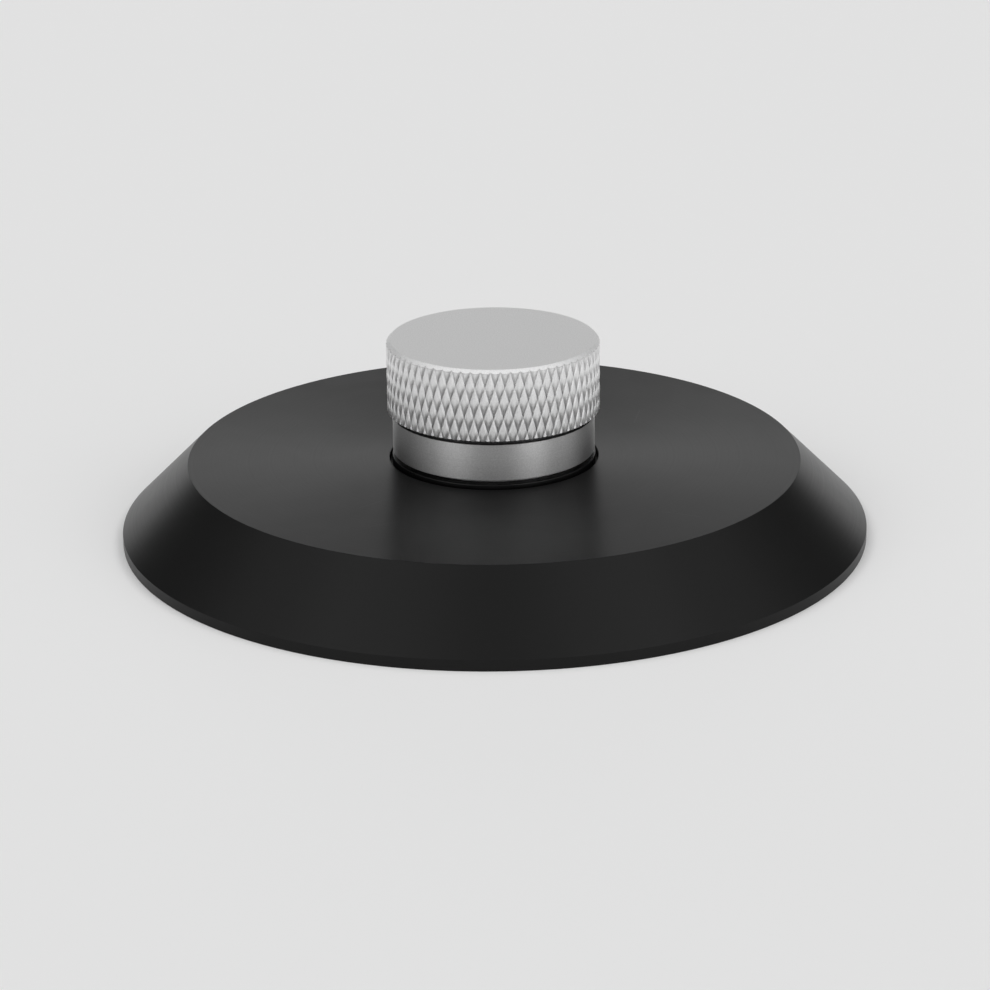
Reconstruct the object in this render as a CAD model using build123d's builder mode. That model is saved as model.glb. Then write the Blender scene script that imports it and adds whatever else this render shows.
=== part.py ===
"""Record weight clamp: a bevelled disc that presses on a record's label, and a knurled knob that draws a
slotted collet up into the disc until its fingers grip the turntable's spindle.

Millimetres. The spindle is the z axis, z = 0 is the face that presses on the label, and +Z is up.
The clamp is drawn loosened, with the collet at the bottom of its travel.
"""

import math
import os

from build123d import *

# Clamp disc: one turned piece with a bevel, an upright rim and a relieved underside
disc_radius = 50.0
disc_height = 10.5
rim_height = 1.5
top_face_radius = 41.0
label_land = 5.0
label_relief = 0.8
disc_edge_break = 0.15

# Spindle bore and the collet that grips it
spindle_bore_radius = 3.65
shank_radius = 6.0
shank_clearance = 0.05
nose_radius = 7.8
nose_land = 0.6
taper_angle = 20.0
collet_top = 20.5
collet_edge_break = 0.3
draw_travel = 1.0
seat_margin = 0.1
saw_cut_width = 1.0
saw_cut_top = 9.0

# Stem thread, drawn as a plain stem between its root and its crest
thread_depth = 0.3
thread_runout = 1.2
thread_runout_depth = 0.7

# Key that stops the collet from turning with the knob
key_radius = 0.8
key_length = 2.8
key_sink = 0.2
key_clearance = 0.15
key_edge_break = 0.15

# Thrust washer in the disc's counterbore
washer_radius = 13.6
washer_thickness = 1.5
washer_rise = 0.5
washer_clearance = 0.4
washer_edge_break = 0.15

# Knob: skirt, runout groove and knurled head
skirt_radius = 13.5
skirt_lift = 0.5
skirt_edge_break = 0.2
boss_radius = 12.4
runout_depth = 0.6
runout_width = 0.7
knurl_bottom = 17.2
knob_top = 26.9
top_chamfer = 0.6
drill_depth = 10.8
drill_point_angle = 118.0
bore_chamfer = 0.8

# Knurl: pointed diamonds left between two families of helical grooves
knurl_radius = 14.3
knurl_depth = 0.32
knurl_count = 68
knurl_row = 2.1
knurl_row_shift = 0.425
knurl_start = 0.86

# Heights and radii that follow from the sizes above
counterbore_radius = washer_radius + washer_clearance
counterbore_floor = disc_height + washer_rise - washer_thickness
washer_top = disc_height + washer_rise
disc_bore_radius = shank_radius + shank_clearance
taper_slope = math.tan(math.radians(taper_angle))
nose_bottom = label_relief
taper_top = nose_bottom + nose_land + (nose_radius - shank_radius) / taper_slope
seat_top = taper_top + draw_travel + seat_margin
seat_mouth_radius = disc_bore_radius + (seat_top - label_relief) * taper_slope
stem_radius = shank_radius - thread_depth
thread_start = washer_top - thread_runout
runout_radius = skirt_radius - runout_depth
skirt_bottom = washer_top + skirt_lift
drill_top = washer_top + drill_depth
drill_point = drill_top + shank_radius / math.tan(math.radians(drill_point_angle / 2))
key_offset = shank_radius + key_sink
key_bottom = counterbore_floor - key_length

os.makedirs("parts", exist_ok=True)

# Clamp disc
with BuildPart() as clamp_disc:
    with BuildSketch(Plane.XZ):
        with BuildLine():
            Polyline(
                (seat_mouth_radius, label_relief),
                (disc_radius - label_land, label_relief),
                (disc_radius - label_land, 0),
                (disc_radius - disc_edge_break, 0),
                (disc_radius, disc_edge_break),
                (disc_radius, rim_height),
                (top_face_radius, disc_height),
                (counterbore_radius + disc_edge_break, disc_height),
                (counterbore_radius, disc_height - disc_edge_break),
                (counterbore_radius, counterbore_floor),
                (disc_bore_radius, counterbore_floor),
                (disc_bore_radius, seat_top),
                close=True,
            )
        make_face()
    revolve(axis=Axis.Z)
    with BuildSketch(Plane.XY.offset(counterbore_floor)):
        with Locations((key_offset, 0)):
            Circle(key_radius)
    extrude(amount=-key_length, mode=Mode.SUBTRACT)
clamp_disc.part.label = "clamp_disc"
export_step(clamp_disc.part, "parts/clamp_disc.step")

# Key pin, pressed into the disc from the counterbore so that half of it stands in the bore
with BuildPart() as key_pin:
    with BuildSketch(Plane.XY.offset(key_bottom)):
        with Locations((key_offset, 0)):
            Circle(key_radius)
    extrude(amount=key_length)
    chamfer(key_pin.edges().filter_by(GeomType.CIRCLE), key_edge_break)
key_pin.part.label = "key_pin"
export_step(key_pin.part, "parts/key_pin.step")

# Thrust washer, lying in the counterbore round the collet's shank
with BuildPart() as thrust_washer:
    with BuildSketch(Plane.XY.offset(counterbore_floor)):
        Circle(washer_radius)
        Circle(shank_radius + washer_clearance, mode=Mode.SUBTRACT)
    extrude(amount=washer_thickness)
    chamfer(thrust_washer.edges().group_by(Axis.Z)[-1].sort_by(SortBy.RADIUS)[-1], washer_edge_break)
thrust_washer.part.label = "thrust_washer"
export_step(thrust_washer.part, "parts/thrust_washer.step")

# Collet: tapered nose, keyed shank, runout groove and threaded stem round the spindle bore
with BuildPart() as collet:
    with BuildSketch(Plane.XZ):
        with BuildLine():
            Polyline(
                (spindle_bore_radius + collet_edge_break, nose_bottom),
                (nose_radius, nose_bottom),
                (nose_radius, nose_bottom + nose_land),
                (shank_radius, taper_top),
                (shank_radius, thread_start),
                (shank_radius - thread_runout_depth, thread_start),
                (shank_radius - thread_runout_depth, thread_start + thread_runout),
                (stem_radius, thread_start + thread_runout),
                (stem_radius, collet_top - collet_edge_break),
                (stem_radius - collet_edge_break, collet_top),
                (spindle_bore_radius, collet_top),
                (spindle_bore_radius, nose_bottom + collet_edge_break),
                close=True,
            )
        make_face()
    revolve(axis=Axis.Z)
    # two crossed saw cuts leave four fingers, halfway between the keyway and its opposite side
    with BuildSketch(Plane.XY.offset(nose_bottom)):
        Rectangle(2 * nose_radius + saw_cut_width, saw_cut_width, rotation=45)
        Rectangle(2 * nose_radius + saw_cut_width, saw_cut_width, rotation=-45)
    extrude(amount=saw_cut_top - nose_bottom, mode=Mode.SUBTRACT)
    # the keyway is longer than the key by the travel at its lower end
    with BuildSketch(Plane.XY.offset(key_bottom - draw_travel - key_clearance)):
        with Locations((key_offset, 0)):
            Circle(key_radius + key_clearance)
    extrude(amount=key_length + draw_travel + 2 * key_clearance, mode=Mode.SUBTRACT)
collet.part.label = "collet"
export_step(collet.part, "parts/collet.step")


def knurl_point(column, row, radius):
    """A point of the knurl: columns count round the knob, rows count up from the lowest groove crossing."""
    angle = 2 * math.pi * (column - knurl_row_shift * row) / knurl_count - math.pi / 2
    height = knurl_bottom + knurl_start + knurl_row * row
    return Vector(radius * math.cos(angle), radius * math.sin(angle), height)


def knurl_diamond_half(column, row, step):
    """Two facets of the diamond centred on a row: its upper half for step 1, its lower half for step -1."""
    root_radius = knurl_radius - knurl_depth
    # the tip is the groove crossing where the two neighbouring grooves meet, one row up or down
    tip_column = column + (1 if step > 0 else 0)
    peak = knurl_point(column + 0.5, row, knurl_radius)
    left = knurl_point(column, row, root_radius)
    right = knurl_point(column + 1, row, root_radius)
    tip = knurl_point(tip_column, row + step, root_radius)
    return [Face(Wire.make_polygon([left, tip, peak])), Face(Wire.make_polygon([tip, right, peak]))]


def knurl_body():
    """A solid bounded by the knurl's facets, closed by a star-shaped face a row beyond each end of the head."""
    first_row = math.floor(-knurl_start / knurl_row) - 1
    last_row = math.ceil((knob_top - knurl_bottom - knurl_start) / knurl_row) + 1
    facets = []
    for row in range(first_row, last_row + 1):
        for column in range(knurl_count):
            if row < last_row:
                facets += knurl_diamond_half(column, row, 1)
            if row > first_row:
                facets += knurl_diamond_half(column, row, -1)
    for row in (first_row, last_row):
        star = []
        for column in range(knurl_count):
            star.append(knurl_point(column, row, knurl_radius - knurl_depth))
            star.append(knurl_point(column + 0.5, row, knurl_radius))
        facets.append(Face(Wire.make_polygon(star)))
    return Solid(Shell(facets))


# Knob: the head is turned, knurled and chamfered, then the skirt and the drilled bore are added
with BuildPart() as knob:
    with BuildSketch(Plane.XZ):
        with BuildLine():
            Polyline(
                (0, knurl_bottom),
                (knurl_radius, knurl_bottom),
                (knurl_radius, knob_top - top_chamfer),
                (knurl_radius - top_chamfer, knob_top),
                (0, knob_top),
                close=True,
            )
        make_face()
    revolve(axis=Axis.Z)
    add(knurl_body(), mode=Mode.INTERSECT)
    with BuildSketch(Plane.XZ):
        with BuildLine():
            Polyline(
                (0, washer_top),
                (boss_radius, washer_top),
                (boss_radius, skirt_bottom),
                (skirt_radius - skirt_edge_break, skirt_bottom),
                (skirt_radius, skirt_bottom + skirt_edge_break),
                (skirt_radius, knurl_bottom - runout_width),
                (runout_radius, knurl_bottom - runout_width),
                (runout_radius, knurl_bottom),
                (0, knurl_bottom),
                close=True,
            )
        make_face()
    revolve(axis=Axis.Z)
    with BuildSketch(Plane.XZ):
        with BuildLine():
            Polyline(
                (0, washer_top),
                (shank_radius + bore_chamfer, washer_top),
                (shank_radius, washer_top + bore_chamfer),
                (shank_radius, drill_top),
                (0, drill_point),
                close=True,
            )
        make_face()
    revolve(axis=Axis.Z, mode=Mode.SUBTRACT)
knob.part.label = "knob"
export_step(knob.part, "parts/knob.step")
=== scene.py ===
import math

import bmesh
import bpy
from mathutils import Matrix, Vector


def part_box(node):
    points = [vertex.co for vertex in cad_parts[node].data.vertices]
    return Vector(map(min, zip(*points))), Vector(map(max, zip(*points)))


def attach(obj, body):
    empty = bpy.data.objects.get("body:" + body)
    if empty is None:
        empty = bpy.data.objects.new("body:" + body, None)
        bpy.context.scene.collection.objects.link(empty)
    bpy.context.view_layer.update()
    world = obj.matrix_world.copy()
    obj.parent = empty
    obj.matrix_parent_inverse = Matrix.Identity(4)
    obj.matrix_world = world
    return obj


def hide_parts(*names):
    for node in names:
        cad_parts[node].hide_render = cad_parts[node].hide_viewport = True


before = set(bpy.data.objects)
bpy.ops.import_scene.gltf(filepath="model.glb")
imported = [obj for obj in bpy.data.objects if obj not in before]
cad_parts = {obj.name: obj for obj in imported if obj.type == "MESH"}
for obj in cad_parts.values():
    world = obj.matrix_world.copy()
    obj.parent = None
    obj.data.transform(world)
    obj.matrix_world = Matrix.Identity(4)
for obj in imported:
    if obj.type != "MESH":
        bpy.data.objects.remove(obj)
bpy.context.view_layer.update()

# Clamp disc
# A black acetal disc, faced and bevelled on a lathe in one piece, with a relieved underside, a tapered seat
# for the collet and a counterbore for the washer. The lathe leaves fine rings that drag its sheen outwards.
MM = 0.001
disc_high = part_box("clamp_disc")[1]
disc_radius = disc_high.x
disc_height = disc_high.z
rim_height = 1.5 * MM
top_face_radius = 41.0 * MM
label_land = 5.0 * MM
label_relief = 0.8 * MM
counterbore_radius = 14.0 * MM
counterbore_floor = 9.5 * MM
disc_bore_radius = 6.05 * MM
seat_top = 7.445 * MM
seat_mouth_radius = 8.47 * MM
disc_edge = 0.06 * MM
disc_segments = 512
disc_crease = math.radians(40)
drill_overrun = 1.0 * MM
drill_segments = 48

acetal_tone = 0.0085
acetal_roughness = 0.37
acetal_ring_swing = 0.06
acetal_smear_swing = 0.05
noise_middle = 0.5
scratch_tone = 0.012
scratch_width = 0.12 * MM
scratch_ends = (
    ((-17.6, -20.4), (-13.0, -16.2)),
    ((-16.1, -27.2), (-12.3, -25.5)),
    ((19.3, 12.3), (20.3, 17.8)),
    ((21.4, -22.8), (26.4, -24.8)),
)
dust_tone = 0.05
dust_cells_per_metre = 260.0
dust_speck = 0.07
dust_free_share = 0.75


def rounded_section(corners, steps=3):
    """The outline of a turned section: each corner (radius, height, edge) gets an arc of its edge radius."""
    outline = []
    for index, (radius, height, edge) in enumerate(corners):
        here = Vector((radius, height))
        back = (Vector(corners[index - 1][:2]) - here).normalized()
        ahead = (Vector(corners[(index + 1) % len(corners)][:2]) - here).normalized()
        if edge == 0:
            outline.append(here)
            continue
        half_turn = back.angle(ahead) / 2
        centre = here + (back + ahead).normalized() * (edge / math.sin(half_turn))
        first = here + back * (edge / math.tan(half_turn)) - centre
        last = here + ahead * (edge / math.tan(half_turn)) - centre
        outline += [centre + edge * first.slerp(last, step / steps) for step in range(steps + 1)]
    return outline


def turned(name, corners, segments):
    """A solid of revolution about the spindle's axis, from the corners of its half-section."""
    turns = [2 * math.pi * step / segments for step in range(segments)]
    shape = bmesh.new()
    rings = []
    for reach, height in rounded_section(corners):
        if reach == 0:
            rings.append([shape.verts.new((0, 0, height))] * segments)
            continue
        rings.append([shape.verts.new((reach * math.cos(turn), reach * math.sin(turn), height))
                      for turn in turns])
    for ring, following in zip(rings, rings[1:] + rings[:1]):
        for step in range(segments):
            beside = (step + 1) % segments
            corner_loop = [ring[step], ring[beside], following[beside], following[step]]
            wanted = list(dict.fromkeys(corner_loop))
            if len(wanted) > 2:
                shape.faces.new(wanted)
    bmesh.ops.recalc_face_normals(shape, faces=shape.faces)
    mesh = bpy.data.meshes.new(name)
    shape.to_mesh(mesh)
    shape.free()
    piece = bpy.data.objects.new(name, mesh)
    bpy.context.scene.collection.objects.link(piece)
    return piece


def made_plain(piece):
    """Keeps what a piece's modifiers make of it as its own plain mesh, and removes the modifiers."""
    evaluated = piece.evaluated_get(bpy.context.evaluated_depsgraph_get())
    piece.data = bpy.data.meshes.new_from_object(evaluated)
    piece.modifiers.clear()
    piece.data.name = piece.name


def settled(piece, crease):
    """Shades a piece smoothly up to its crease angle, so that flat faces stay flat beside rounded edges."""
    made_plain(piece)
    piece.data.polygons.foreach_set("use_smooth", [True] * len(piece.data.polygons))
    piece.data.set_sharp_from_angle(angle=crease)
    weighted = piece.modifiers.new("flat faces", "WEIGHTED_NORMAL")
    weighted.keep_sharp = True
    weighted.weight = 100
    made_plain(piece)


def cut_out(piece, tool):
    """Takes a tool's form out of a piece, and throws the tool away."""
    cut = piece.modifiers.new("cut", "BOOLEAN")
    cut.object = tool
    made_plain(piece)
    bpy.data.objects.remove(tool)


class Tap:
    """One output of a node. Arithmetic on taps adds Math nodes to the same tree."""

    def __init__(self, tree, socket=None):
        self.tree = tree
        self.socket = socket

    def node(self, kind, settings=None, inputs=None, output=0):
        """Adds a node of any kind: its settings first, then the values or links of its sockets."""
        made = self.tree.nodes.new(kind)
        for name, value in (settings or {}).items():
            setattr(made, name, value)
        for name, value in (inputs or {}).items():
            if isinstance(value, Tap):
                value.into(made.inputs[name])
            else:
                made.inputs[name].default_value = value
        return Tap(self.tree, made.outputs[output])

    def into(self, socket):
        """Links this output to a socket of the same tree."""
        self.tree.links.new(self.socket, socket)

    def math(self, operation, other=0.0, third=0.0, reflected=False):
        """Adds a Math node with this output as its first value, or as its second if reflected."""
        first, second = (other, self) if reflected else (self, other)
        return self.node("ShaderNodeMath", {"operation": operation}, {0: first, 1: second, 2: third})

    def __add__(self, other):
        return self.math("ADD", other)

    def __radd__(self, other):
        return self.math("ADD", other, reflected=True)

    def __sub__(self, other):
        return self.math("SUBTRACT", other)

    def __rsub__(self, other):
        return self.math("SUBTRACT", other, reflected=True)

    def __mul__(self, other):
        return self.math("MULTIPLY", other)

    def __rmul__(self, other):
        return self.math("MULTIPLY", other, reflected=True)

    def __truediv__(self, other):
        return self.math("DIVIDE", other)

    def __rtruediv__(self, other):
        return self.math("DIVIDE", other, reflected=True)


def new_finish(name):
    """An empty material, a tap on its tree and its shader node."""
    finish = bpy.data.materials.new(name)
    finish.use_nodes = True
    shader = finish.node_tree.nodes["Principled BSDF"]
    return finish, Tap(finish.node_tree), shader


acetal, acetal_tree, acetal_shader = new_finish("black acetal, turned")
acetal_place = acetal_tree.node("ShaderNodeTexCoord", output="Object")
acetal_flat = acetal_tree.node("ShaderNodeVectorMath", {"operation": "MULTIPLY"},
                               {0: acetal_place, 1: (1.0, 1.0, 0.0)})
acetal_reach = acetal_tree.node("ShaderNodeVectorMath", {"operation": "LENGTH"}, {0: acetal_flat}, "Value")
acetal_rings = acetal_tree.node("ShaderNodeTexNoise", {"noise_dimensions": "1D"},
                                {"W": acetal_reach / MM, "Scale": 3.0, "Detail": 4.0, "Roughness": 0.6})
acetal_smear = acetal_tree.node("ShaderNodeTexNoise", None,
                                {"Vector": acetal_place, "Scale": 90.0, "Detail": 3.0, "Distortion": 1.5})
acetal_rough = (acetal_roughness + acetal_ring_swing * (acetal_rings - noise_middle)
                + acetal_smear_swing * (acetal_smear - noise_middle))

# a few hairline scratches on the top face, each from one point to another, and sparse specks of dust
acetal_marks = 0.0
for scratch_start, scratch_end in scratch_ends:
    scratch_from = Vector((*scratch_start, 0.0)) * MM
    scratch_along = Vector((*scratch_end, 0.0)) * MM - scratch_from
    scratch_place = acetal_tree.node("ShaderNodeVectorMath", {"operation": "SUBTRACT"},
                                     {0: acetal_flat, 1: scratch_from})
    scratch_part = acetal_tree.node("ShaderNodeVectorMath", {"operation": "DOT_PRODUCT"}, {
        0: scratch_place, 1: scratch_along / scratch_along.length_squared}, "Value")
    scratch_part = acetal_tree.node("ShaderNodeClamp", None, {"Value": scratch_part})
    scratch_foot = acetal_tree.node("ShaderNodeVectorMath", {"operation": "SCALE"},
                                    {0: scratch_along, "Scale": scratch_part})
    scratch_gap = acetal_tree.node("ShaderNodeVectorMath", {"operation": "DISTANCE"},
                                   {0: scratch_place, 1: scratch_foot}, "Value")
    scratch = acetal_tree.node("ShaderNodeMapRange", {"interpolation_type": "SMOOTHSTEP"}, {
        "Value": scratch_gap, "From Min": scratch_width, "From Max": 0.0,
        "To Min": 0.0, "To Max": scratch_tone})
    acetal_marks = acetal_marks + scratch
dust_cells = {"Vector": acetal_place, "Scale": dust_cells_per_metre}
dust_gap = acetal_tree.node("ShaderNodeTexVoronoi", None, dust_cells)
dust_draw = acetal_tree.node("ShaderNodeTexVoronoi", None, dust_cells, "Color")
dust_draw = acetal_tree.node("ShaderNodeSeparateColor", None, {0: dust_draw}, "Red")
acetal_dust = dust_gap.math("LESS_THAN", dust_speck * (dust_draw - dust_free_share))
acetal_black = acetal_tone + acetal_marks + dust_tone * acetal_dust
acetal_rough.into(acetal_shader.inputs["Roughness"])
acetal_black.into(acetal_shader.inputs["Base Color"])
acetal_shader.inputs["IOR"].default_value = 1.23
acetal_shader.inputs["Anisotropic"].default_value = 0.72
acetal_shader.inputs["Anisotropic Rotation"].default_value = 0.25

disc = turned("clamp_disc_turned", [
    (seat_mouth_radius, label_relief, disc_edge),
    (disc_radius - label_land, label_relief, disc_edge),
    (disc_radius - label_land, 0.0, disc_edge),
    (disc_radius, 0.0, 2 * disc_edge),
    (disc_radius, rim_height, disc_edge),
    (top_face_radius, disc_height, disc_edge),
    (counterbore_radius, disc_height, 2 * disc_edge),
    (counterbore_radius, counterbore_floor, disc_edge),
    (disc_bore_radius, counterbore_floor, disc_edge),
    (disc_bore_radius, seat_top, disc_edge),
], disc_segments)
disc.data.materials.append(acetal)
pin_low, pin_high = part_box("key_pin")
pin_radius = (pin_high.x - pin_low.x) / 2
pin_drill = turned("pin_drill", [
    (0.0, pin_low.z, 0.0),
    (pin_radius, pin_low.z, 0.0),
    (pin_radius, pin_high.z + drill_overrun, 0.0),
    (0.0, pin_high.z + drill_overrun, 0.0),
], drill_segments)
pin_drill.location.x = pin_high.x - pin_radius
cut_out(disc, pin_drill)
settled(disc, disc_crease)
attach(disc, "disc")
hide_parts("clamp_disc")

# Key pin
# A short steel dowel, ground to size and pressed into the wall of the disc's bore from the counterbore.
# It keeps the shape that model.glb gives it, and only its finish is made here.
pin_colour = (0.55, 0.55, 0.56, 1.0)
pin_smoothest = 0.2
pin_grain_swing = 0.15

pin_steel, pin_tree, pin_shader = new_finish("ground steel")
pin_shader.inputs["Base Color"].default_value = pin_colour
pin_shader.inputs["Metallic"].default_value = 1.0
pin_place = pin_tree.node("ShaderNodeTexCoord", output="Object")
pin_grain = pin_tree.node("ShaderNodeTexNoise", None, {"Vector": pin_place, "Scale": 6000.0, "Detail": 2.0})
pin_rough = pin_smoothest + pin_grain_swing * pin_grain
pin_rough.into(pin_shader.inputs["Roughness"])
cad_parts["key_pin"].data.materials.clear()
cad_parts["key_pin"].data.materials.append(pin_steel)

# Thrust washer
# A plain ring turned from a smoother black acetal. It lies loose in the disc's counterbore, stands a little
# proud of it and carries the turning knob.
washer_radius = 13.6 * MM
washer_bore = 6.4 * MM
washer_top = 11.0 * MM
washer_edge = 0.12 * MM
washer_segments = 256
washer_crease = math.radians(40)
washer_colour = (0.002, 0.002, 0.002, 1.0)
washer_smoothest = 0.22
washer_smear_swing = 0.16

washer_black, washer_tree, washer_shader = new_finish("black acetal, washer")
washer_place = washer_tree.node("ShaderNodeTexCoord", output="Object")
washer_smear = washer_tree.node("ShaderNodeTexNoise", None,
                                {"Vector": washer_place, "Scale": 500.0, "Detail": 3.0})
washer_rough = washer_smoothest + washer_smear_swing * washer_smear
washer_rough.into(washer_shader.inputs["Roughness"])
washer_shader.inputs["Base Color"].default_value = washer_colour
washer_shader.inputs["IOR"].default_value = 1.3

washer = turned("thrust_washer_turned", [
    (washer_radius, counterbore_floor, washer_edge),
    (washer_radius, washer_top, washer_edge),
    (washer_bore, washer_top, washer_edge),
    (washer_bore, counterbore_floor, washer_edge),
], washer_segments)
washer.data.materials.append(washer_black)
settled(washer, washer_crease)
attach(washer, "disc")
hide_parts("thrust_washer")

# Collet
# A brass sleeve, turned and screw-cut in one piece. Two crossed saw cuts leave four fingers round the spindle
# and a keyway slides along the key pin. The knob draws it up into the disc's tapered seat.
collet_low, collet_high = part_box("collet")
nose_land = 0.6 * MM
shank_radius = 6.0 * MM
taper_top = 6.345 * MM
spindle_bore = 3.65 * MM
relief_radius = 5.3 * MM
relief_bottom = 9.8 * MM
thread_root = 5.45 * MM
thread_crest = 5.9 * MM
thread_pitch = 1.0 * MM
thread_run = 0.6 * MM
thread_flat = 0.1
thread_rings = 14
thread_tolerance = 0.005 * MM
collet_edge = 0.08 * MM
collet_segments = 192
collet_crease = math.radians(30)
saw_width = 1.0 * MM
saw_top = 9.0 * MM
saw_turns = (math.radians(45), math.radians(-45))
keyway_radius = 0.95 * MM
keyway_bottom = 5.55 * MM
keyway_top = 9.65 * MM
brass_bright = (0.74, 0.55, 0.27, 1.0)
brass_stained = (0.62, 0.43, 0.19, 1.0)
brass_smoothest = 0.24
brass_ring_swing = 0.12

brass, brass_tree, brass_shader = new_finish("turned brass")
brass_place = brass_tree.node("ShaderNodeTexCoord", output="Object")
brass_height = brass_tree.node("ShaderNodeSeparateXYZ", None, {0: brass_place}, "Z")
brass_rings = brass_tree.node("ShaderNodeTexNoise", {"noise_dimensions": "1D"},
                              {"W": brass_height / MM, "Scale": 6.0, "Detail": 3.0})
brass_stain = brass_tree.node("ShaderNodeTexNoise", None,
                              {"Vector": brass_place, "Scale": 400.0, "Detail": 3.0})
brass_rough = brass_smoothest + brass_ring_swing * brass_rings
# the colour inputs of a Mix node are its sockets 6 and 7, and its colour output is the third
brass_colour = brass_tree.node("ShaderNodeMix", {"data_type": "RGBA"},
                               {"Factor": brass_stain, 6: brass_bright, 7: brass_stained}, 2)
brass_rough.into(brass_shader.inputs["Roughness"])
brass_colour.into(brass_shader.inputs["Base Color"])
brass_shader.inputs["Metallic"].default_value = 1.0
brass_shader.inputs["Anisotropic"].default_value = 0.4
brass_shader.inputs["Anisotropic Rotation"].default_value = 0.25

stem_length = collet_high.z - collet_edge - washer_top
stem_steps = round(stem_length / thread_pitch * thread_rings)
stem_step = stem_length / stem_steps
collet = turned("collet_threaded", [
    (spindle_bore, collet_low.z, 3 * collet_edge),
    (collet_high.x, collet_low.z, collet_edge),
    (collet_high.x, collet_low.z + nose_land, collet_edge),
    (shank_radius, taper_top, collet_edge),
    (shank_radius, relief_bottom, collet_edge),
    (relief_radius, relief_bottom, collet_edge),
    *[(thread_root, washer_top + stem_step * step, 0.0) for step in range(stem_steps + 1)],
    (thread_root - collet_edge, collet_high.z, 0.0),
    (spindle_bore, collet_high.z, collet_edge),
], collet_segments)


def sized_tree(name, sizes):
    """A geometry tree with a named input for each size (kind, value), and taps on its inputs."""
    tree = bpy.data.node_groups.new(name, "GeometryNodeTree")
    tree.interface.new_socket("Geometry", in_out="OUTPUT", socket_type="NodeSocketGeometry")
    tree.interface.new_socket("Geometry", in_out="INPUT", socket_type="NodeSocketGeometry")
    for size_name, (kind, _) in sizes.items():
        tree.interface.new_socket(size_name, in_out="INPUT", socket_type=kind)
    entry = tree.nodes.new("NodeGroupInput")
    return tree, {size_name: Tap(tree, entry.outputs[size_name]) for size_name in ["Geometry", *sizes]}


def grown(piece, tree, result, sizes):
    """Ends a tree in its result, runs it on a piece at its sizes and keeps the mesh that it makes."""
    result.into(tree.nodes.new("NodeGroupOutput").inputs[0])
    modifier = piece.modifiers.new(tree.name, "NODES")
    modifier.node_group = tree
    for socket in tree.interface.items_tree:
        if socket.in_out == "INPUT" and socket.name in sizes:
            modifier[socket.identifier] = sizes[socket.name][1]
    made_plain(piece)


thread_sizes = {
    "Root": ("NodeSocketFloat", thread_root),
    "Crest": ("NodeSocketFloat", thread_crest),
    "Pitch": ("NodeSocketFloat", thread_pitch),
    "Run": ("NodeSocketFloat", thread_run),
    "Flat": ("NodeSocketFloat", thread_flat),
    "Foot": ("NodeSocketFloat", washer_top),
    "Head": ("NodeSocketFloat", collet_high.z),
    "Material": ("NodeSocketMaterial", brass),
}
thread_tree, size = sized_tree("screw thread", thread_sizes)
stem = Tap(thread_tree)

# a right-handed ridge: its height follows the turn round the axis, and it fades out at both ends of the stem
stem_place = stem.node("GeometryNodeInputPosition")
stem_x, stem_y, stem_z = [stem.node("ShaderNodeSeparateXYZ", None, {0: stem_place}, axis) for axis in "XYZ"]
stem_reach = (stem_x * stem_x + stem_y * stem_y).math("SQRT")
stem_turn = stem_y.math("ARCTAN2", stem_x) / (2 * math.pi)
ridge = 2.0 * (stem_z / size["Pitch"] - stem_turn).math("PINGPONG", 0.5)
ridge = stem.node("ShaderNodeClamp", None, {"Value": (ridge - size["Flat"]) / (1.0 - 2.0 * size["Flat"])})
run_in = stem.node("ShaderNodeClamp", None, {"Value": (stem_z - size["Foot"]) / size["Run"]})
run_out = stem.node("ShaderNodeClamp", None, {"Value": (size["Head"] - stem_z) / size["Run"]})
stem_grown = size["Root"] + (size["Crest"] - size["Root"]) * ridge * run_in * run_out
stem_spread = stem_grown / stem_reach
stem_moved = stem.node("ShaderNodeCombineXYZ", None, {
    "X": stem_x * stem_spread, "Y": stem_y * stem_spread, "Z": stem_z})
stem_cut = stem.node("GeometryNodeSetPosition", None, {
    "Geometry": size["Geometry"], "Position": stem_moved,
    "Selection": stem_reach.math("COMPARE", size["Root"], thread_tolerance)})
stem_cut = stem.node("GeometryNodeRealizeInstances", None, {"Geometry": stem_cut})
stem_cut = stem.node("GeometryNodeSetMaterial", None, {"Geometry": stem_cut, "Material": size["Material"]})
grown(collet, thread_tree, stem_cut, thread_sizes)

for saw_turn in saw_turns:
    blade = bmesh.new()
    blade_reach = 2 * collet_high.x + saw_width
    blade_place = (Matrix.Rotation(saw_turn, 4, "Z") @ Matrix.Translation((0, 0, saw_top / 2))
                   @ Matrix.Diagonal((blade_reach, saw_width, saw_top, 1.0)))
    bmesh.ops.create_cube(blade, size=1.0, matrix=blade_place)
    saw = bpy.data.objects.new("saw", bpy.data.meshes.new("saw"))
    blade.to_mesh(saw.data)
    blade.free()
    bpy.context.scene.collection.objects.link(saw)
    cut_out(collet, saw)
keyway_drill = turned("keyway_drill", [
    (0.0, keyway_bottom, 0.0),
    (keyway_radius, keyway_bottom, 0.0),
    (keyway_radius, keyway_top, 0.0),
    (0.0, keyway_top, 0.0),
], drill_segments)
keyway_drill.location.x = pin_high.x - pin_radius
cut_out(collet, keyway_drill)


def finished(piece, finish):
    """Gives a piece one finish all over, in place of what its making left in its material slots."""
    piece.data.materials.clear()
    piece.data.materials.append(finish)
    piece.data.polygons.foreach_set("material_index", [0] * len(piece.data.polygons))


settled(collet, collet_crease)
finished(collet, brass)
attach(collet, "collet")
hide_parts("collet")

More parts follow.
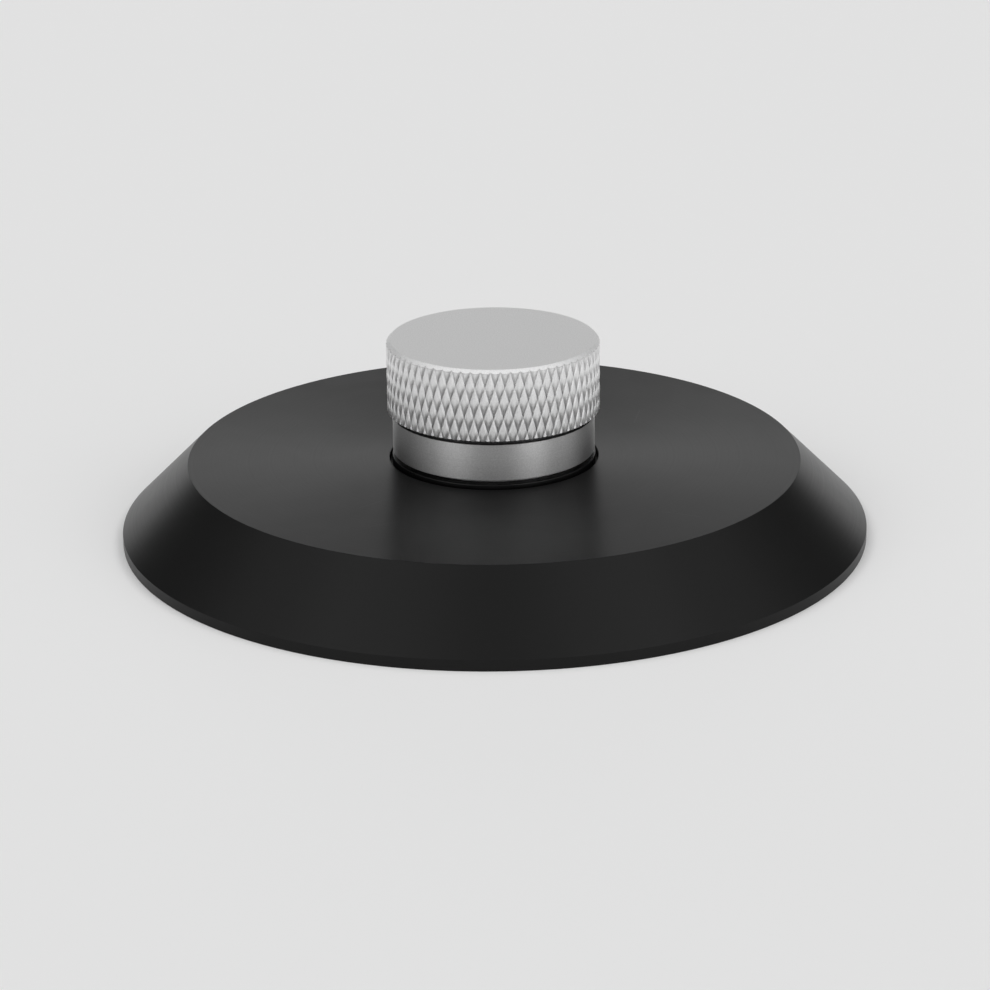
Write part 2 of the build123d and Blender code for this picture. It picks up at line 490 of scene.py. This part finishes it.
# Knob
# Turned from aluminium bar as one piece: a smooth skirt, a runout groove and a head that two crossing rolls
# have knurled, with a chamfered top. It is blasted and clear anodised, and screws onto the collet's stem.
knob_low, knob_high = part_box("knob")
knob_top = knob_high.z
knurl_radius = 14.3 * MM
knurl_depth = 0.3 * MM
knurl_count = 68
knurl_row = 2.1 * MM
knurl_row_shift = 0.425
knurl_bottom = 17.2 * MM
knurl_start = 0.86 * MM
knurl_phase = 0.42
knurl_rows_below = 2
knurl_cells = 8
knurl_rounding = 0.01
knurl_flank = 0.34
knurl_shoulder = 0.92
knurl_lean = 0.75
knurl_weld = 0.002 * MM
knurl_cut_tolerance = 1e-7
skirt_radius = 13.5 * MM
skirt_bottom = 11.5 * MM
skirt_edge = 0.2 * MM
boss_radius = 12.4 * MM
runout_depth = 0.6 * MM
runout_width = 0.7 * MM
top_chamfer = 0.6 * MM
thread_bore = 6.0 * MM
drill_top = 21.8 * MM
drill_point = 25.4 * MM
knob_edge = 0.15 * MM
top_edge = 0.2 * MM
knob_crease = math.radians(22)

blasted_tone = 0.85
blasted_roughness = 0.66
rolled_gain = 0.12
rolled_polish = 0.27
grain_tone_swing = 0.25
grain_roughness_swing = 0.08
# painted shade: the skirt's tone is set well below the head's for the shade it stands in under the knurled
# head
skirt_shaded_tone = 0.58
skirt_grain_swing = 0.4
skirt_ring_swing = 0.12
# painted shade: how much the runout groove's band is darkened
groove_shade_darkening = 0.85
groove_margin = 0.02 * MM
groove_inset = 0.03 * MM

aluminium, aluminium_tree, aluminium_shader = new_finish("blasted aluminium, clear anodised")
aluminium_place = aluminium_tree.node("ShaderNodeTexCoord", output="Object")
aluminium_height = aluminium_tree.node("ShaderNodeSeparateXYZ", None, {0: aluminium_place}, "Z")
aluminium_flat = aluminium_tree.node("ShaderNodeVectorMath", {"operation": "MULTIPLY"},
                                     {0: aluminium_place, 1: (1.0, 1.0, 0.0)})
aluminium_reach = aluminium_tree.node("ShaderNodeVectorMath", {"operation": "LENGTH"},
                                      {0: aluminium_flat}, "Value")
aluminium_grain = aluminium_tree.node("ShaderNodeTexNoise", None,
                                      {"Vector": aluminium_place, "Scale": 5500.0, "Detail": 1.0})
grain_swing = aluminium_grain - noise_middle
rolled = (aluminium_height.math("GREATER_THAN", knurl_bottom)
          * aluminium_height.math("LESS_THAN", knob_top - top_chamfer))
head_tone = (blasted_tone + rolled_gain * rolled) * (1.0 + grain_tone_swing * grain_swing)
head_rough = blasted_roughness - rolled_polish * rolled + grain_roughness_swing * grain_swing
head_tone.into(aluminium_shader.inputs["Base Color"])
head_rough.into(aluminium_shader.inputs["Roughness"])
aluminium_shader.inputs["Metallic"].default_value = 1.0

# the skirt keeps fine rings from the lathe and a tone darker than the head's as painted shade, and the runout
# groove above it is darkened with painted shade
skirt_rings = aluminium_tree.node("ShaderNodeTexNoise", {"noise_dimensions": "1D"},
                                  {"W": aluminium_height / MM, "Scale": 5.0, "Detail": 3.0})
# painted shade in the runout groove, where its own shadow falls
groove_painted_shade = (aluminium_height.math("GREATER_THAN", knurl_bottom - runout_width - groove_margin)
               * aluminium_reach.math("LESS_THAN", skirt_radius - groove_inset))
skirt_texture = 1.0 + skirt_grain_swing * grain_swing + skirt_ring_swing * (skirt_rings - noise_middle)
# the skirt's tone: lathe grain and rings, darkened with painted shade
skirt_tone_and_shade = skirt_shaded_tone * skirt_texture * (1.0 - groove_shade_darkening * groove_painted_shade)
skirt_finish_and_shade = aluminium_tree.node("ShaderNodeBsdfPrincipled", None, {
    "Base Color": skirt_tone_and_shade, "Metallic": 1.0, "Roughness": 0.5,
    "Anisotropic": 0.85, "Anisotropic Rotation": 0.25})
aluminium_mix = aluminium_tree.node("ShaderNodeMixShader", None, {
    0: aluminium_height.math("LESS_THAN", knurl_bottom),
    1: Tap(aluminium_tree.tree, aluminium_shader.outputs[0]),
    2: skirt_finish_and_shade})
aluminium_mix.into(aluminium_tree.tree.nodes["Material Output"].inputs["Surface"])

knurl_rows = math.ceil((knob_top - knurl_bottom) / knurl_row) + 2 * knurl_rows_below
knurl_sizes = {
    "Count": ("NodeSocketInt", knurl_count),
    "Rows": ("NodeSocketInt", knurl_rows),
    "Rows Below": ("NodeSocketInt", knurl_rows_below),
    "Cells": ("NodeSocketInt", knurl_cells),
    "Pitch": ("NodeSocketFloat", 2 * math.pi * knurl_radius / knurl_count),
    "Row Height": ("NodeSocketFloat", knurl_row),
    "Row Shift": ("NodeSocketFloat", knurl_row_shift),
    "First Row": ("NodeSocketFloat", knurl_bottom + knurl_start - knurl_rows_below * knurl_row),
    "Root Radius": ("NodeSocketFloat", knurl_radius - knurl_depth),
    "Depth": ("NodeSocketFloat", knurl_depth),
    "Rounding": ("NodeSocketFloat", knurl_rounding),
    "Flank": ("NodeSocketFloat", knurl_flank),
    "Shoulder": ("NodeSocketFloat", knurl_shoulder),
    "Lean": ("NodeSocketFloat", knurl_lean),
    "Phase": ("NodeSocketFloat", knurl_phase),
    "Material": ("NodeSocketMaterial", aluminium),
}
knurl_tree, size = sized_tree("knurl strip", knurl_sizes)
strip = Tap(knurl_tree)

# one diamond: a square patch sheared into a cell of the unrolled knurl and raised to a crown that leans back
patch = strip.node("GeometryNodeMeshGrid", None, {
    "Size X": 1.0, "Size Y": 1.0, "Vertices X": size["Cells"] + 1.0, "Vertices Y": size["Cells"] + 1.0})
patch_place = strip.node("GeometryNodeInputPosition")
patch_lines = []
for patch_axis in "XY":
    # the grid's lines are moved so that one of them runs along the shoulder between flank and crown
    patch_line = strip.node("ShaderNodeSeparateXYZ", None, {0: patch_place}, patch_axis)
    out_part = 2.0 * patch_line.math("ABSOLUTE")
    crown_part = ((1.0 - 2.0 * size["Flank"]) * out_part).math("MINIMUM", 0.5 - size["Flank"])
    flank_part = size["Flank"] * (2.0 * out_part - 1.0).math("MAXIMUM", 0.0)
    patch_lines.append(patch_line.math("SIGN") * (crown_part + flank_part))
patch_x, patch_y = patch_lines
across = patch_x * (1.0 - size["Row Shift"]) - patch_y * size["Row Shift"]
edge_x = 0.5 - patch_x.math("ABSOLUTE")
edge_y = 0.5 - patch_y.math("ABSOLUTE")
near = edge_x.math("SMOOTH_MIN", edge_y, size["Rounding"])
flank_rise = near * size["Shoulder"] / size["Flank"]
crown_rise = 1.0 - (0.5 - near) * (1.0 - size["Shoulder"]) / (0.5 - size["Flank"])
crown_rise = crown_rise * (1.0 - size["Lean"] * (patch_x + patch_y + 1.0) / 2.0)
rise = flank_rise.math("SMOOTH_MIN", crown_rise, size["Rounding"])
diamond_place = strip.node("ShaderNodeCombineXYZ", None, {
    "X": across * size["Pitch"],
    "Y": size["Root Radius"] + size["Depth"] * rise,
    "Z": (patch_x + patch_y) * size["Row Height"]})
diamond = strip.node("GeometryNodeSetPosition", None, {"Geometry": patch, "Position": diamond_place})

# the diamonds stand on a lattice, column by column and row by row
stand_index = strip.node("GeometryNodeInputIndex")
stand_row = ((stand_index + 0.5) / size["Count"]).math("FLOOR")
stand_column = stand_index - stand_row * size["Count"]
stand_shift = (stand_row - size["Rows Below"]) * size["Row Shift"]
stand_place = strip.node("ShaderNodeCombineXYZ", None, {
    "X": (stand_column - stand_shift + 0.5 + size["Phase"]) * size["Pitch"],
    "Z": size["First Row"] + stand_row * size["Row Height"]})
stands = strip.node("GeometryNodePoints", None, {
    "Count": size["Count"] * size["Rows"], "Position": stand_place})
diamonds = strip.node("GeometryNodeInstanceOnPoints", None, {"Points": stands, "Instance": diamond})
band = strip.node("GeometryNodeRealizeInstances", None, {"Geometry": diamonds})
band = strip.node("GeometryNodeMergeByDistance", None, {"Geometry": band, "Distance": knurl_weld})
band = strip.node("GeometryNodeSetMaterial", None, {"Geometry": band, "Material": size["Material"]})
knob = bpy.data.objects.new("knob_knurled", bpy.data.meshes.new("knob_knurled"))
bpy.context.scene.collection.objects.link(knob)
grown(knob, knurl_tree, band, knurl_sizes)

# the unrolled strip is cut square at its foot and along the chamfer at its top, then rolled round the axis
shape = bmesh.new()
shape.from_mesh(knob.data)
for cut_place, cut_normal in (((0, 0, knurl_bottom), (0, 0, -1)),
                              ((0, knurl_radius - top_chamfer, knob_top), (0, 1, 1))):
    everything = shape.verts[:] + shape.edges[:] + shape.faces[:]
    bmesh.ops.bisect_plane(shape, geom=everything, dist=knurl_cut_tolerance,
                           plane_co=cut_place, plane_no=cut_normal, clear_outer=True)
for vert in shape.verts:
    turn = vert.co.x / knurl_radius
    vert.co = (vert.co.y * math.sin(turn), -vert.co.y * math.cos(turn), vert.co.z)
bmesh.ops.remove_doubles(shape, verts=shape.verts, dist=knurl_weld)


def follow(shape, edges, outline):
    """Carries an open ring of edges along a turned outline, evenly spaced, and closes it on the axis."""
    for point in outline:
        made = bmesh.ops.extrude_edge_only(shape, edges=edges)["geom"]
        ring = [part for part in made if isinstance(part, bmesh.types.BMVert)]
        edges = [part for part in made if isinstance(part, bmesh.types.BMEdge) and part.is_boundary]
        ring.sort(key=lambda vert: math.atan2(vert.co.y, vert.co.x))
        ring_start = math.atan2(ring[0].co.y, ring[0].co.x)
        for step, vert in enumerate(ring):
            turn = ring_start + 2 * math.pi * step / len(ring)
            vert.co = (math.cos(turn) * point.x, math.sin(turn) * point.x, point.y)
        if point.x == 0:
            bmesh.ops.remove_doubles(shape, verts=ring, dist=knurl_weld)


# each outline starts where the strip was cut, so its first point is left out
open_edges = [edge for edge in shape.edges if edge.is_boundary]
foot = [edge for edge in open_edges if edge.verts[0].co.z < knurl_bottom + knurl_row]
head = [edge for edge in open_edges if edge.verts[0].co.z > knurl_bottom + knurl_row]
follow(shape, head, rounded_section([
    (knurl_radius, knob_top - top_chamfer, 0.0),
    (knurl_radius - top_chamfer, knob_top, top_edge),
    (knurl_radius - top_chamfer - 2 * top_edge, knob_top, 0.0),
    (0.0, knob_top, 0.0),
])[1:])
follow(shape, foot, rounded_section([
    (knurl_radius, knurl_bottom, 0.0),
    (skirt_radius - runout_depth, knurl_bottom, knob_edge / 2),
    (skirt_radius - runout_depth, knurl_bottom - runout_width, knob_edge / 2),
    (skirt_radius, knurl_bottom - runout_width, knob_edge / 2),
    (skirt_radius, skirt_bottom, skirt_edge),
    (boss_radius, skirt_bottom, knob_edge),
    (boss_radius, knob_low.z, knob_edge),
    (thread_bore, knob_low.z, knob_edge),
    (thread_bore, drill_top, knob_edge),
    (0.0, drill_point, 0.0),
])[1:])
bmesh.ops.recalc_face_normals(shape, faces=shape.faces)
shape.to_mesh(knob.data)
shape.free()
settled(knob, knob_crease)
finished(knob, aluminium)
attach(knob, "knob")
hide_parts("knob")

# Floor
# The pale paper that the clamp stands on. It isn't part of the object.
# A faint glow of its own keeps it nearly as pale as the wall behind it.
floor_reach = 3.0
paper_tone = 0.79
paper_glow = 0.11

floor_mesh = bpy.data.meshes.new("floor")
floor_mesh.from_pydata([(-floor_reach, -floor_reach, 0), (floor_reach, -floor_reach, 0),
                        (floor_reach, floor_reach, 0), (-floor_reach, floor_reach, 0)], [], [(0, 1, 2, 3)])
floor = bpy.data.objects.new("floor", floor_mesh)
bpy.context.scene.collection.objects.link(floor)
paper, _, paper_shader = new_finish("pale paper")
paper_shader.inputs["Base Color"].default_value = (paper_tone, paper_tone, paper_tone, 1.0)
paper_shader.inputs["Roughness"].default_value = 0.9
paper_shader.inputs["Emission Color"].default_value = (1.0, 1.0, 1.0, 1.0)
paper_shader.inputs["Emission Strength"].default_value = paper_glow
floor_mesh.materials.append(paper)

# Light
# A white tent with soft round panels all round it, the strongest of them low behind and at both front
# corners. The camera sees the tent's pale wall instead of its panels.
wall_tone = 0.745
# each panel: degrees round from straight behind, degrees up, radii of full light and of none, strength
single_panels = {
    "low, behind": (0, 3, 5, 24, 1.55),
    "low, right": (90, 3, 4, 26, 0.75),
    "low, left": (-90, 3, 4, 26, 0.1),
    "low, front right": (135, 3, 4, 26, 0.55),
    "low, front": (180, 5, 4, 26, 0.85),
    "middle, behind": (0, 42, 6, 26, 0.15),
    "high, front": (180, 65, 8, 30, 0.5),
}
right_and_left_panels = {
    "low, behind": (24, 1, 4, 17, 1.1),
    "middle, behind": (45, 48, 6, 22, 0.6),
    "middle, beside": (100, 38, 6, 27, 1.0),
    "middle, front": (135, 32, 6, 28, 1.95),
    "high, behind": (45, 62, 8, 28, 0.35),
    "high, front": (135, 58, 8, 28, 0.85),
}
panels = [*single_panels.values()]
for azimuth, *panel in right_and_left_panels.values():
    panels += [(azimuth, *panel), (-azimuth, *panel)]

world = bpy.data.worlds.new("light tent")
bpy.context.scene.world = world
world.use_nodes = True
tent = Tap(world.node_tree)
tent_way = tent.node("ShaderNodeTexCoord", output="Generated")
tent_light = 0.0
for azimuth, elevation, inner, outer, strength in panels:
    turn, lift = math.radians(azimuth), math.radians(elevation)
    towards = (math.sin(turn) * math.cos(lift), math.cos(turn) * math.cos(lift), math.sin(lift))
    facing = tent.node("ShaderNodeVectorMath", {"operation": "DOT_PRODUCT"},
                       {0: tent_way, 1: towards}, "Value")
    panel_light = tent.node("ShaderNodeMapRange", {"interpolation_type": "SMOOTHSTEP"}, {
        "Value": facing,
        "From Min": math.cos(math.radians(outer)), "From Max": math.cos(math.radians(inner)),
        "To Min": 0.0, "To Max": strength})
    tent_light = tent_light + panel_light
tent_seen = tent.node("ShaderNodeLightPath", output="Is Camera Ray")
tent_shade = tent_light * (1.0 - tent_seen) + wall_tone * tent_seen
tent_shade.into(world.node_tree.nodes["Background"].inputs["Color"])

# Camera
# It stands in front of the clamp and looks down at it, with a long lens. Its place and its lens follow from
# the ellipses of the disc and of the knob in the photo. Its angles are in radians.
camera_distance = 478.86 * MM
camera_elevation = 0.36021
camera_pitch = 0.00914
camera_yaw = 0.00015
camera_roll = 0.01032
camera_focal_pixels = 3540.44
picture_pixels = 990

lens = bpy.data.cameras.new("camera")
lens.sensor_width = 36.0
lens.lens = lens.sensor_width * camera_focal_pixels / picture_pixels
lens.clip_start = 0.01
camera = bpy.data.objects.new("camera", lens)
bpy.context.scene.collection.objects.link(camera)
bpy.context.scene.camera = camera
camera.location = (0.0, -camera_distance * math.cos(camera_elevation),
                   camera_distance * math.sin(camera_elevation))
aim = Matrix.Rotation(math.pi / 2 - camera_elevation, 3, "X")
aim = aim @ Matrix.Rotation(-camera_yaw, 3, "Y") @ Matrix.Rotation(camera_pitch, 3, "X")
aim = aim @ Matrix.Rotation(-camera_roll, 3, "Z")
camera.rotation_euler = aim.to_euler()
bpy.context.scene.view_settings.view_transform = "Standard"
